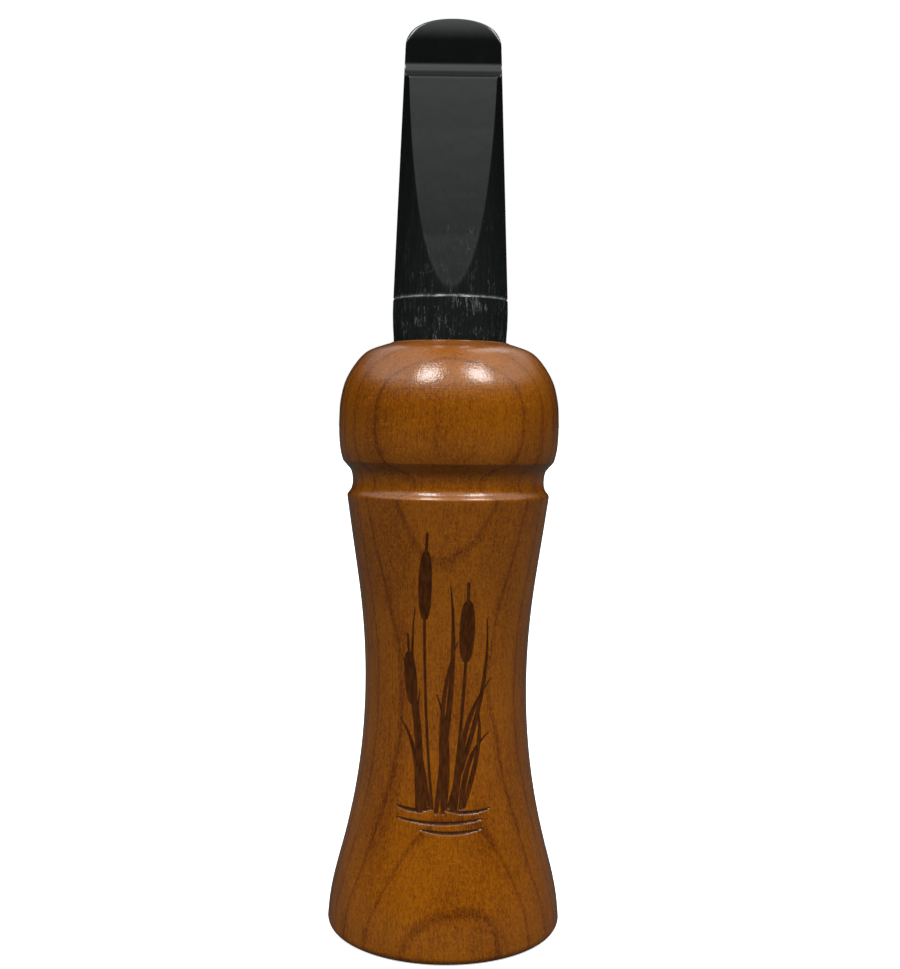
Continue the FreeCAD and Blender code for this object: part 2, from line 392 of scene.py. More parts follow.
class Graph:
    """A node tree with short calls that add nodes and join them."""

    def __init__(self, tree: bpy.types.NodeTree) -> None:
        """Takes the tree to add to."""
        self.tree = tree

    def put(self, socket: bpy.types.NodeSocket, value: Value) -> None:
        """Feeds a socket from another one, or sets its number or colour."""
        if isinstance(value, Signal):
            value = value.socket
        if isinstance(value, bpy.types.NodeSocket):
            self.tree.links.new(value, socket)
        elif socket.type == "RGBA" and len(value) == 3:
            socket.default_value = (*value, 1.0)
        else:
            socket.default_value = value

    def node(self, kind: str, inputs: dict | None = None, **settings: object) -> bpy.types.Node:
        """Adds a node.

        Args:
            kind: The node's type, such as ShaderNodeTexNoise.
            inputs: Its inputs by name or number, each a signal, a socket or a constant.
            settings: Its own properties.

        Returns:
            The new node.
        """
        made = self.tree.nodes.new(kind)
        for key, value in settings.items():
            setattr(made, key, value)
        for key, value in (inputs or {}).items():
            self.put(made.inputs[key], value)
        return made

    def signal(self, kind: str, output: str | int, inputs: dict | None = None, **settings: object) -> Signal:
        """Adds a node as node() does and gives one of its outputs."""
        return Signal(self, self.node(kind, inputs, **settings).outputs[output])

    def math(self, operation: str, a: Value, b: Value = 0.0, clamp: bool = False) -> Signal:
        """Works out one sum of two numbers."""
        return self.signal("ShaderNodeMath", 0, {0: a, 1: b}, operation=operation, use_clamp=clamp)

    def vector(self, operation: str, a: Value, b: Value) -> Signal:
        """Works out one sum of two vectors."""
        return self.signal("ShaderNodeVectorMath", "Vector", {0: a, 1: b}, operation=operation)

    def length(self, a: Value) -> Signal:
        """Gives the length of a vector."""
        return self.signal("ShaderNodeVectorMath", "Value", {0: a}, operation="LENGTH")

    def noise(self, place: Value, scale: Value = 1.0, detail: float = 3.0, rough: float = 0.5) -> Signal:
        """Gives a noise from 0 to 1."""
        inputs = {"Vector": place, "Scale": scale, "Detail": detail, "Roughness": rough}
        return self.signal("ShaderNodeTexNoise", "Fac", inputs)

    def wander(self, place: Value, scale: float, detail: float) -> Signal:
        """Gives a noise vector, each part from 0 to 1."""
        return self.signal("ShaderNodeTexNoise", "Color", {"Vector": place, "Scale": scale, "Detail": detail})

    def ramp(self, amount: Value, stops: Sequence[tuple[float, Colour]], ease: str = "LINEAR") -> Signal:
        """Maps a number to a colour through a list of (place, colour) stops."""
        made = self.node("ShaderNodeValToRGB", {"Fac": amount})
        made.color_ramp.interpolation = ease
        elements = made.color_ramp.elements
        while len(elements) < len(stops):
            elements.new(0.5)
        for element, (place, colour) in zip(elements, stops):
            element.position = place
            element.color = (*colour, 1.0)
        return Signal(self, made.outputs["Color"])

    def levels(self, amount: Value, stops: Curve, ease: str = "LINEAR") -> Signal:
        """Maps a number to a grey level through a list of (place, level) stops."""
        return self.ramp(amount, [(place, (level,) * 3) for place, level in stops], ease)

    def rescale(self, amount: Value, low: float, high: float, to: Pair = (0.0, 1.0)) -> Signal:
        """Maps one range of numbers smoothly to another."""
        inputs = {"Value": amount, "From Min": low, "From Max": high, "To Min": to[0], "To Max": to[1]}
        return self.signal("ShaderNodeMapRange", "Result", inputs, interpolation_type="SMOOTHSTEP")

    def mix(self, amount: Value, a: Value, b: Value, blend: str = "MIX") -> Signal:
        """Mixes two colours."""
        return self.signal("ShaderNodeMix", 2, {0: amount, 6: a, 7: b}, data_type="RGBA", blend_type=blend)

    def attribute(self, name: str) -> Signal:
        """Gives a number stored on the mesh's points."""
        return self.signal("ShaderNodeAttribute", "Fac", attribute_name=name)

    def place_mm(self) -> Signal:
        """Gives the place on the object in millimetres, which moves with it."""
        place = self.signal("ShaderNodeTexCoord", "Object")
        return self.signal("ShaderNodeVectorMath", "Vector", {0: place, "Scale": 1 / MM}, operation="SCALE")

    def bump(self, height: Value, depth_mm: float, under: Value | None = None) -> Signal:
        """Turns a height from 0 to 1 into a normal, for a relief of the given depth over another normal."""
        inputs = {"Height": height, "Distance": depth_mm * MM, "Strength": 1.0}
        if under is not None:
            inputs["Normal"] = under
        return self.signal("ShaderNodeBump", "Normal", inputs)


@dataclass(frozen=True)
class Grain:
    """A noise squeezed by a factor per millimetre along each axis, and the stretch of it that shows."""

    squeeze: Triple
    detail: float = 3.0
    rough: float = 0.5
    low: float = 0.0
    high: float = 1.0

    def value(self, graph: Graph, place: Value) -> Signal:
        """Gives the plain noise."""
        return graph.noise(graph.vector("MULTIPLY", place, self.squeeze), 1.0, self.detail, self.rough)

    def mask(self, graph: Graph, place: Value, to: Pair = (0.0, 1.0)) -> Signal:
        """Gives the noise with its low to high range spread over another range."""
        return graph.rescale(self.value(graph, place), self.low, self.high, to)


def even(scale: float) -> Triple:
    """Gives the same squeeze along each axis."""
    return (scale, scale, scale)


def shared_group(
    name: str,
    inputs: dict[str, tuple[str, object]],
    outputs: Sequence[str],
    build: Callable[[Graph, dict[str, Signal]], dict[str, Signal]],
) -> bpy.types.NodeTree:
    """Builds a node group the first time that it is asked for.

    Args:
        name: The group's name.
        inputs: Socket name to its type and default value.
        outputs: The names of its output numbers.
        build: Takes the graph and the group's inputs, and returns one signal for each output.

    Returns:
        The group's node tree.
    """
    if name in bpy.data.node_groups:
        return bpy.data.node_groups[name]
    tree = bpy.data.node_groups.new(name, "ShaderNodeTree")
    for label, (kind, default) in inputs.items():
        socket = tree.interface.new_socket(label, in_out="INPUT", socket_type=kind)
        if default is not None:
            socket.default_value = default
    for label in outputs:
        tree.interface.new_socket(label, in_out="OUTPUT", socket_type="NodeSocketFloat")
    graph = Graph(tree)
    entry = tree.nodes.new("NodeGroupInput")
    leave = tree.nodes.new("NodeGroupOutput")
    given = {label: Signal(graph, entry.outputs[label]) for label in inputs}
    for label, signal in build(graph, given).items():
        graph.put(leave.inputs[label], signal)
    return tree


def fine_scratches() -> bpy.types.NodeTree:
    """The group that draws thin hairline scuffs.

    Returns:
        A group with inputs Place, Stretch and Density, and output Mask.
    """
    line_width = 0.035
    patches = Grain(even(0.55))

    def build(graph: Graph, given: dict[str, Signal]) -> dict[str, Signal]:
        """Draws the edges of stretched cells, broken up into patches."""
        place = given["Place"]
        stretched = graph.vector("MULTIPLY", place, given["Stretch"])
        bent = graph.vector("ADD", stretched, graph.wander(place, 0.35, 2.0))
        inputs = {"Vector": bent, "Scale": 1.0}
        edges = graph.signal("ShaderNodeTexVoronoi", "Distance", inputs, feature="DISTANCE_TO_EDGE")
        lines = graph.rescale(edges, 0.0, line_width, (1.0, 0.0))
        bare = patches.value(graph, place) - (1.0 - given["Density"])
        return {"Mask": lines * graph.math("MULTIPLY", bare, 6.0, clamp=True)}

    inputs = {
        "Place": ("NodeSocketVector", None),
        "Stretch": ("NodeSocketVector", (1.0, 1.0, 1.0)),
        "Density": ("NodeSocketFloat", 0.5),
    }
    return shared_group("fine_scratches", inputs, ["Mask"], build)


def handling_haze() -> bpy.types.NodeTree:
    """The group that breaks up a gloss with smears and specks from handling.

    Returns:
        A group with inputs Place and Scale, and outputs Haze and Specks.
    """
    speck_ratio = 9.0

    def build(graph: Graph, given: dict[str, Signal]) -> dict[str, Signal]:
        """Makes broad smears and fine specks."""
        smears = graph.noise(given["Place"], given["Scale"], 4.0, 0.6)
        specks = graph.noise(given["Place"], given["Scale"] * speck_ratio, 2.0, 0.6)
        return {"Haze": graph.rescale(smears, 0.35, 0.72), "Specks": graph.rescale(specks, 0.62, 0.74)}

    inputs = {"Place": ("NodeSocketVector", None), "Scale": ("NodeSocketFloat", 0.3)}
    return shared_group("handling_haze", inputs, ["Haze", "Specks"], build)


def use_group(graph: Graph, tree: bpy.types.NodeTree, inputs: dict[str, Value]) -> dict[str, Signal]:
    """Places a shared group in a material with its own values and gives its outputs by name."""
    made = graph.tree.nodes.new("ShaderNodeGroup")
    made.node_tree = tree
    for key, value in inputs.items():
        graph.put(made.inputs[key], value)
    return {output.name: Signal(graph, output) for output in made.outputs}


class Dresser:
    """One material being made: its graph, its Principled shader and the place on the object."""

    def __init__(self, name: str) -> None:
        """Starts the material under a name."""
        self.material = bpy.data.materials.new(name)
        self.material.use_nodes = True
        self.graph = Graph(self.material.node_tree)
        self.shader = self.material.node_tree.nodes["Principled BSDF"]
        self.place = self.graph.place_mm()

    def wire(self, **signals: Value) -> None:
        """Feeds the shader's inputs, each named with _ for a space."""
        for name, signal in signals.items():
            self.graph.put(self.shader.inputs[name.replace("_", " ")], signal)

    def haze(self, scale: float) -> dict[str, Signal]:
        """Gives the handling haze over the object, at a scale per millimetre."""
        return use_group(self.graph, handling_haze(), {"Place": self.place, "Scale": scale})

    def scratches(self, stretch: Triple, density: float) -> Signal:
        """Gives the hairlines over the object."""
        inputs = {"Place": self.place, "Stretch": stretch, "Density": density}
        return use_group(self.graph, fine_scratches(), inputs)["Mask"]


@dataclass(frozen=True)
class CherryFinish:
    """Turned cherry under a thin lacquer, with a burnt-in drawing."""

    pale: Colour = (0.232, 0.068, 0.0006)
    middle: Colour = (0.170, 0.0435, 0.0004)
    dark: Colour = (0.078, 0.0165, 0.0003)
    # Colour of the sanding scratches, painted paler than the wood so that they also stand in for the glints
    # they catch.
    sanded_and_glint: Colour = (0.36, 0.125, 0.012)
    glow: Colour = (1.0, 0.5, 0.12)
    char: Colour = (0.024, 0.005, 0.0012)
    char_worn: Colour = (0.055, 0.014, 0.003)
    pith: Triple = (-0.3, 63.9, 0.0)
    ring_spacing: float = 2.5
    ring_squeeze: Triple = (0.06, 0.06, 0.02)
    ring_wander: Triple = (2.5, 3.4, 0.0)
    ring_levels: Curve = ((0.0, 0.3), (0.25, 0.12), (0.80, 0.2), (0.94, 1.0), (1.0, 0.3))
    ring_share: float = 0.42
    long_fibre: Grain = Grain((3.0, 3.0, 0.15), 5.0, 0.62)
    short_fibre: Grain = Grain((5.6, 5.6, 1.1), 3.0, 0.6)
    fibre_share: float = 0.4
    pores: Grain = Grain((5.5, 5.5, 0.55), 2.0, 0.5, 0.62, 0.72)
    pore_share: float = 0.6
    blotch: Grain = Grain((0.16, 0.16, 0.05), 3.0, 0.5, 0.3, 0.75)
    blotch_share: float = 0.3
    fleck: Grain = Grain((6.5, 6.5, 2.4), 2.0, 0.5, 0.3, 0.7)
    fleck_share: float = 0.46
    scratch_and_glint_lines: Grain = Grain((0.42, 0.42, 7.0), 3.0, 0.7, 0.54, 0.7)
    scratch_and_glint_patches: Grain = Grain(even(0.13), 2.0, 0.5, 0.42, 0.66)
    scratch_and_glint_share: float = 0.34
    turning: Grain = Grain((0.05, 0.05, 4.2), 4.0, 0.7)
    crackle: Grain = Grain(even(2.8), 2.0, 0.6)
    char_grain: Grain = Grain((3.0, 3.0, 0.6), 3.0, 0.5, 0.3, 0.7)
    fibre_depth: float = 0.03
    turning_depth: float = 0.016
    coat_turning_depth: float = 0.018
    coat_crackle_depth: float = 0.022
    wood_roughness: Pair = (0.42, 0.52)
    char_roughness: float = 0.35
    char_coat_loss: float = 0.8
    coat_roughness: float = 0.1
    coat_ior: float = 1.48
    wood_specular: float = 0.2

    def rings(self, graph: Graph, place: Value) -> Signal:
        """Gives how far each point lies through its growth ring, from 0 to 1."""
        wander = graph.wander(graph.vector("MULTIPLY", place, self.ring_squeeze), 1.0, 2.5)
        moved = graph.vector("ADD", place, graph.vector("MULTIPLY", wander, self.ring_wander))
        flat = graph.vector("MULTIPLY", graph.vector("SUBTRACT", moved, self.pith), (1.0, 1.0, 0.0))
        return graph.math("FRACT", graph.length(flat) / self.ring_spacing)

    def fibre(self, graph: Graph, place: Value) -> Signal:
        """Gives the fine streaks that run up the grain."""
        return self.long_fibre.value(graph, place) * 0.45 + self.short_fibre.value(graph, place) * 0.55

    def wood(self, graph: Graph, place: Value) -> Signal:
        """Gives the wood's colour without the burnt drawing."""
        late_wood = graph.levels(self.rings(graph, place), self.ring_levels, "EASE")
        streaks = graph.rescale(self.fibre(graph, place), 0.36, 0.64)
        depth = late_wood * self.ring_share + (self.fleck.mask(graph, place) - 0.5) * self.fleck_share
        depth = depth + streaks * self.fibre_share + self.blotch.mask(graph, place) * self.blotch_share
        base = graph.ramp(depth, [(0.12, self.pale), (0.5, self.middle), (0.95, self.dark)])
        # Pale sanding scratches in patches: real scratches, painted light so that they also act as the glints
        # they catch.
        scratch_and_glint = self.scratch_and_glint_lines.mask(graph, place) * self.scratch_and_glint_patches.mask(graph, place)
        base = graph.mix(scratch_and_glint * self.scratch_and_glint_share, base, self.sanded_and_glint)
        return graph.mix(self.pores.mask(graph, place) * self.pore_share, base, self.dark)

    def make(self) -> bpy.types.Material:
        """Builds the material."""
        dresser = Dresser("cherry_satin_lacquer")
        graph, place = dresser.graph, dresser.place
        burn = graph.attribute("burn")
        charred = graph.mix(self.char_grain.mask(graph, place), self.char, self.char_worn)
        colour = graph.mix(graph.rescale(burn, 0.05, 0.6), self.wood(graph, place), charred)
        rough = graph.rescale(dresser.haze(0.25)["Haze"], 0.0, 1.0, self.wood_roughness)
        fibre_relief = graph.bump(self.fibre(graph, place), self.fibre_depth)
        turned = graph.bump(self.turning.value(graph, place), self.turning_depth, fibre_relief)
        dresser.wire(
            Base_Color=colour,
            Roughness=rough + burn * self.char_roughness,
            Normal=turned,
            Coat_Weight=1.0 - burn * self.char_coat_loss,
        )
        coat_turned = graph.bump(self.turning.value(graph, place), self.coat_turning_depth)
        crackle = self.crackle.value(graph, place) + self.fibre(graph, place)
        dresser.wire(Coat_Normal=graph.bump(crackle, self.coat_crackle_depth, coat_turned))
        dresser.wire(
            Coat_Roughness=self.coat_roughness,
            Coat_IOR=self.coat_ior,
            Specular_IOR_Level=self.wood_specular,
            Specular_Tint=self.glow,
        )
        return dresser.material


@dataclass(frozen=True)
class AcrylicFinish:
    """Polished black acrylic, scuffed where it has been handled and seated."""

    black: Colour = (0.0030, 0.0036, 0.0033)
    scuff: Colour = (0.085, 0.093, 0.088)
    rubbed: Colour = (0.0098, 0.0122, 0.0112)
    dust: Colour = (0.3, 0.32, 0.3)
    coarse_scuffs: Grain = Grain((3.0, 3.0, 0.6), 2.0, 0.6)
    fine_scuffs: Grain = Grain((7.0, 7.0, 2.2), 2.0, 0.6)
    scuff_patches: Grain = Grain(even(0.45), 2.0)
    scuff_share: float = 0.6
    broken_dust: Grain = Grain(even(1.3), 3.0, 0.7, 0.32, 0.68)
    rubbing: Grain = Grain((3.2, 3.2, 0.2), 3.0, 0.6, 0.3, 0.75)
    ripple: Grain = Grain(even(0.5), 2.0)
    ripple_depth: float = 0.01
    mark_depth: float = 0.003
    hairline_stretch: Triple = (1.6, 1.6, 0.12)
    gloss: Pair = (0.12, 0.15)
    mark_roughness: float = 0.3
    ior: float = 1.49

    def scuffs(self, graph: Graph, place: Value, seated: Signal) -> Signal:
        """Gives the short pale scuffs along the board, thicker where it is worn."""
        grain = self.coarse_scuffs.value(graph, place) * 0.6 + self.fine_scuffs.value(graph, place) * 0.4
        patched = grain + (self.scuff_patches.value(graph, place) - 0.5) * 0.5 + seated * 0.22
        return graph.rescale(patched, 0.78, 0.9) * seated

    def make(self) -> bpy.types.Material:
        """Builds the material."""
        dresser = Dresser("black_acrylic")
        graph, place = dresser.graph, dresser.place
        haze = dresser.haze(0.35)
        wear = graph.attribute("wear")
        seated = wear**3.0
        hairlines = dresser.scratches(self.hairline_stretch, 0.5) * (seated + 0.05)
        marks = graph.math("MAXIMUM", hairlines, self.scuffs(graph, place, seated))
        dusty = graph.attribute("ring") * self.broken_dust.mask(graph, place, (0.1, 1.0))
        handled = self.rubbing.mask(graph, place, (0.45, 1.0)) * (wear * 0.95 + 0.05)
        body = graph.mix(handled, self.black, self.rubbed)
        scuffed = graph.mix(graph.math("MULTIPLY", marks, self.scuff_share, clamp=True), body, self.scuff)
        relief = graph.bump(marks * -0.6 + haze["Specks"], self.mark_depth)
        dresser.wire(
            Base_Color=graph.mix(dusty, scuffed, self.dust),
            Roughness=graph.rescale(haze["Haze"], 0.0, 1.0, self.gloss) + marks * self.mark_roughness,
            Normal=graph.bump(self.ripple.value(graph, place), self.ripple_depth, relief),
            IOR=self.ior,
        )
        return dresser.material


@dataclass(frozen=True)
class FilmFinish:
    """Frosted polyester film with fine polishing lines along it."""

    tint: Colour = (0.62, 0.64, 0.62)
    smeared: Colour = (0.5, 0.51, 0.48)
    smear_share: float = 0.35
    gloss: Pair = (0.3, 0.42)
    line_stretch: Triple = (2.5, 1.0, 0.1)
    line_depth: float = 0.004
    glow: float = 0.2
    glow_reach: float = 0.3
    ior: float = 1.57

    def make(self) -> bpy.types.Material:
        """Builds the material."""
        dresser = Dresser("frosted_film")
        graph = dresser.graph
        lines = dresser.scratches(self.line_stretch, 0.6)
        haze = dresser.haze(0.4)["Haze"]
        dresser.wire(
            Base_Color=graph.mix(haze * self.smear_share, self.tint, self.smeared),
            Roughness=graph.rescale(haze, 0.0, 1.0, self.gloss),
            Normal=graph.bump(lines, self.line_depth),
            Subsurface_Weight=self.glow,
            Subsurface_Scale=self.glow_reach * MM,
            IOR=self.ior,
        )
        return dresser.material


@dataclass(frozen=True)
class WedgeFinish:
    """Satin black plastic with a fine mould texture."""

    black: Colour = (0.012, 0.012, 0.012)
    greyed: Colour = (0.022, 0.022, 0.021)
    gloss: Pair = (0.42, 0.58)
    mould: Grain = Grain(even(6.0), 2.0)
    mould_depth: float = 0.01

    def make(self) -> bpy.types.Material:
        """Builds the material."""
        dresser = Dresser("satin_black_plastic")
        graph = dresser.graph
        haze = dresser.haze(0.7)["Haze"]
        dresser.wire(
            Base_Color=graph.mix(haze, self.black, self.greyed),
            Roughness=graph.rescale(haze, 0.0, 1.0, self.gloss),
            Normal=graph.bump(self.mould.value(graph, dresser.place), self.mould_depth),
        )
        return dresser.material


# ---- Barrel ----


@dataclass
class Stroke:
    """One burnt line: its points as (across, height) in millimetres and its half width at each point."""

    points: np.ndarray
    half_width: np.ndarray


@dataclass
class MarshDrawing:
    """A burnt drawing of cattails and marsh grass over rippled water, for the front of the barrel.

    A leaf is its foot and tip across, its tip's height and its bow. A ripple is its height above the
    drawing's foot, its half length and its middle across.
    """

    seed: int = 11
    low: float = 16.0
    high: float = 56.0
    half_angle_deg: float = 34.0
    foot: float = 3.2
    spike: float = 2.6
    stalk_half_width: float = 0.17
    head_half_width: float = 0.78
    ripple_half_width: float = 0.2
    edge: float = 0.11
    leaves: Sequence[tuple[float, float, float, float]] = (
        (-3.2, -6.2, 39.0, 1.2), (-2.7, -4.3, 45.5, -0.8), (-1.1, 0.5, 48.5, 0.9),
        (-0.2, 1.5, 41.0, -1.1), (0.6, 5.6, 44.0, 1.3), (1.4, 6.4, 36.0, -1.5), (2.1, 6.1, 28.8, -1.1),
        (-3.6, -6.4, 30.6, 1.1), (0.1, -1.2, 34.0, 0.8), (2.6, 4.3, 32.6, 0.9), (-2.0, -3.5, 34.5, -0.7),
    )
    ripples: Sequence[Triple] = ((0.4, 4.2, 0.9), (1.6, 6.0, -0.7), (2.9, 3.1, 3.3), (3.1, 2.6, -4.2))
    strokes: list[Stroke] = field(default_factory=list)

    def blade(self, root: Pair, tip: Pair, bow: float, width: float) -> None:
        """Adds a tapered leaf that bows to one side.

        Args:
            root: Where it starts, as (across, height).
            tip: Where it ends.
            bow: How far its middle leans out of the straight line.
            width: Its half width at the widest place.
        """
        share = np.linspace(0.0, 1.0, 42)[:, None]
        start, end = np.array(root), np.array(tip)
        side = np.array([end[1] - start[1], start[0] - end[0]])
        side = side / np.linalg.norm(side)
        line = start + (end - start) * share + side * bow * 4 * share * (1 - share) * (0.55 + 0.9 * share)
        taper = np.interp(share[:, 0], [0.0, 0.25, 0.7, 1.0], [0.7, 1.0, 0.72, 0.12])
        self.strokes.append(Stroke(line, taper * width))

    def cattail(self, root: Pair, top: Pair, bow: float, head: float) -> None:
        """Adds a stalk with a long soft head and a thin spike above it.

        Args:
            root: The stalk's foot, as (across, height).
            top: The spike's end.
            bow: How far the stalk leans out.
            head: The head's length.
        """
        share = np.linspace(0.0, 1.0, 90)[:, None]
        start, end = np.array(root), np.array(top)
        line = start + (end - start) * share
        line[:, 0] += bow * 4 * share[:, 0] * (1 - share[:, 0])
        run = (1.0 - share[:, 0]) * np.linalg.norm(end - start)
        in_head = np.clip((run - self.spike) / head, 0.0, 1.0)
        swell = np.where((in_head > 0) & (in_head < 1), (np.sin(np.pi * in_head)) ** 0.32, 0.0)
        self.strokes.append(Stroke(line, self.stalk_half_width + self.head_half_width * swell))

    def ripple(self, centre: Pair, half_length: float) -> None:
        """Adds one flat ripple of water."""
        share = np.linspace(-1.0, 1.0, 30)
        line = np.stack([centre[0] + half_length * share, centre[1] + 0.35 * (share**2 - 0.5)], axis=1)
        self.strokes.append(Stroke(line, self.ripple_half_width * (1.06 - share**2) ** 0.6))

    def draw(self) -> None:
        """Lays out the whole drawing."""
        random = np.random.default_rng(self.seed)
        base = self.low + self.foot
        self.cattail((-1.6, base), (-2.7, self.high - 0.6), -0.7, 8.6)
        self.cattail((0.9, base), (2.9, self.high - 7.2), 0.5, 7.6)
        self.cattail((-2.4, base), (-5.3, self.high - 14.2), -0.4, 6.6)
        for root, tip, height, bow in self.leaves:
            start = base + random.uniform(-0.5, 0.4)
            self.blade((root, start), (tip, height), bow, random.uniform(0.30, 0.42))
        for lift, half_length, offset in self.ripples:
            self.ripple((offset, self.low + lift), half_length)

    def burn(self, across: np.ndarray, height: np.ndarray) -> np.ndarray:
        """Gives how deep the burning is at each point, from 0 to 1.

        Args:
            across: Distance round the surface from the front line, in millimetres.
            height: Height above the bell's face.

        Returns:
            The depth, in the same shape.
        """
        random = np.random.default_rng(self.seed + 1)
        depth = np.zeros_like(across)
        for stroke in self.strokes:
            points, widths = stroke.points, stroke.half_width * random.uniform(0.9, 1.1)
            margin = widths.max() + 2 * self.edge
            low, high = points.min(axis=0) - margin, points.max(axis=0) + margin
            near = (across > low[0]) & (across < high[0]) & (height > low[1]) & (height < high[1])
            x, z = across[near], height[near]
            closest = np.full(x.shape, np.inf)
            for a, b, wa, wb in zip(points[:-1], points[1:], widths[:-1], widths[1:]):
                step = b - a
                share = np.clip(((x - a[0]) * step[0] + (z - a[1]) * step[1]) / (step @ step), 0.0, 1.0)
                gap = np.hypot(x - a[0] - share * step[0], z - a[1] - share * step[1])
                closest = np.minimum(closest, gap - (wa + share * (wb - wa)))
            amount = np.clip(0.5 - closest / (2 * self.edge), 0.0, 1.0)
            depth[near] = np.maximum(depth[near], amount * amount * (3 - 2 * amount))
        return depth


@dataclass
class Barrel:
    """The turned wooden barrel with its burnt drawing."""

    flare: Curve = (
        (16.15, 1.1), (15.93, 3.5), (14.19, 11.15), (12.33, 20.15), (11.35, 32.55), (12.04, 44.95),
        (13.36, 54.05), (14.17, 59.55),
    )
    crest_and_groove: Curve = (
        (14.2, 59.8), (14.1, 60.05), (13.78, 60.45), (13.52, 61.1), (13.45, 61.75), (13.52, 62.6),
        (13.76, 63.35), (13.86, 63.5),
    )
    head: Curve = (
        (14.84, 64.6), (15.12, 65.6), (15.39, 67.55), (15.45, 69.0), (15.42, 70.95), (15.37, 72.2),
        (15.1, 74.0), (14.72, 75.45), (13.53, 77.75), (12.74, 78.82), (11.5, 79.94), (10.2, 80.5),
        (9.35, 80.78), (8.75, 80.97), (8.4, 81.06),
    )
    mouth_radius: float = 7.985
    rim_round: float = 0.2
    height: float = 81.2
    socket_radius: float = 7.75
    socket_floor: float = 62.35
    bore_radius: float = 6.35
    exhaust: Curve = ((6.36, 14.0), (7.3, 6.6), (9.62, 0.9))
    exhaust_edge: float = 10.45
    bell_round: float = 1.1
    bell_radius: float = 16.15
    profile_step: float = 0.02
    profile_ease: float = 0.07
    socket_corner: float = 0.25
    mouth_chamfer: Pair = (0.01, 0.5)
    flare_step: float = 0.6
    face_rise: float = 0.22
    front_columns: int = 260
    back_columns: int = 200
    row_turn_deg: float = 5.0
    crisp_deg: float = 50.0
    burn_depth: float = 0.11
    drawing_rows: float = 0.12
    plain_rows: float = 0.5
    drawing: MarshDrawing = field(default_factory=MarshDrawing)

    def outside(self) -> np.ndarray:
        """Gives the outside of the profile as (radius, height), from the bell's face to the mouth."""
        edge_centre = (self.bell_radius - self.bell_round, self.bell_round)
        edge = arc_path(edge_centre, self.bell_round, -90.0, -1.0, 24)
        turned = (self.flare, self.crest_and_groove, self.head)
        body, groove, head = (smooth_path(points, self.profile_step) for points in turned)
        rim_centre = (self.mouth_radius + self.rim_round, self.height - self.rim_round)
        rim = arc_path(rim_centre, self.rim_round, 60.0, 180.0, 10)
        fine = resample(np.concatenate([edge, body[1:], groove, head, rim]), self.profile_step)
        eased = soften(fine, self.profile_step, self.profile_ease)
        eased[:, 1] = np.clip(eased[:, 1], 0.0, self.height)
        return eased

    def inside(self) -> np.ndarray:
        """Gives the inside of the profile, from the mouth down to the bell's face."""
        corner = self.socket_corner
        step_in, step_down = self.mouth_chamfer
        socket = np.array(
            [
                (self.mouth_radius - step_in, self.height - step_down),
                (self.socket_radius, self.socket_floor + corner),
                (self.socket_radius - corner, self.socket_floor),
                (self.bore_radius + corner, self.socket_floor),
                (self.bore_radius, self.socket_floor - corner),
            ]
        )
        flare = smooth_path(self.exhaust, self.flare_step)
        edge_middle = (self.exhaust_edge + self.exhaust[-1][0]) / 2
        face = np.array([(edge_middle, self.face_rise), (self.exhaust_edge, 0.0)])
        return np.concatenate([socket, flare, face])

    def columns(self) -> np.ndarray:
        """Gives the angles of the mesh's columns from the front line, closer together over the drawing."""
        half = math.radians(self.drawing.half_angle_deg)
        front = np.linspace(-half, half, self.front_columns)
        back = np.linspace(half, 2 * math.pi - half, self.back_columns)
        return np.concatenate([front, back[1:-1]])

    def build(self, material: bpy.types.Material) -> None:
        """Builds the turned mesh, sinks the drawing into it and sets it on its body."""
        self.drawing.draw()

        def longest(point: np.ndarray) -> float:
            """Keeps rows close over the drawing, and wider elsewhere."""
            inside_drawing = self.drawing.low - 1 < point[1] < self.drawing.high + 1
            return self.drawing_rows if inside_drawing else self.plain_rows

        outside = thin_out(self.outside(), math.radians(self.row_turn_deg), longest)
        profile = np.concatenate([outside, self.inside()])
        angles = self.columns()
        radius, height = profile[:, 0][:, None], profile[:, 1][:, None]
        across = radius * ((angles + math.pi) % (2 * math.pi) - math.pi)
        tall = np.broadcast_to(height, across.shape)
        burnt = np.zeros_like(across)
        rows = len(outside)
        burnt[:rows] = self.drawing.burn(across[:rows], tall[:rows])
        depth = radius - self.burn_depth * burnt
        rings = np.stack([depth * np.sin(angles), -depth * np.cos(angles), tall], axis=2)
        obj = skin("barrel_turned", rings, closed_rows=True)
        land_on(obj, (0.0, 0.0, 0.0), (*turning_axis(), node_box("barrel")[0][2]))
        float_attribute(obj, "burn", burnt.ravel())
        obj.data.materials.append(material)
        obj.data.set_sharp_from_angle(angle=math.radians(self.crisp_deg))
        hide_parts("barrel")
        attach(obj, Body.BARREL.value)
        LOG.info("barrel: %d points, %d strokes burnt in", len(obj.data.vertices), len(self.drawing.strokes))


# ---- Tone board ----


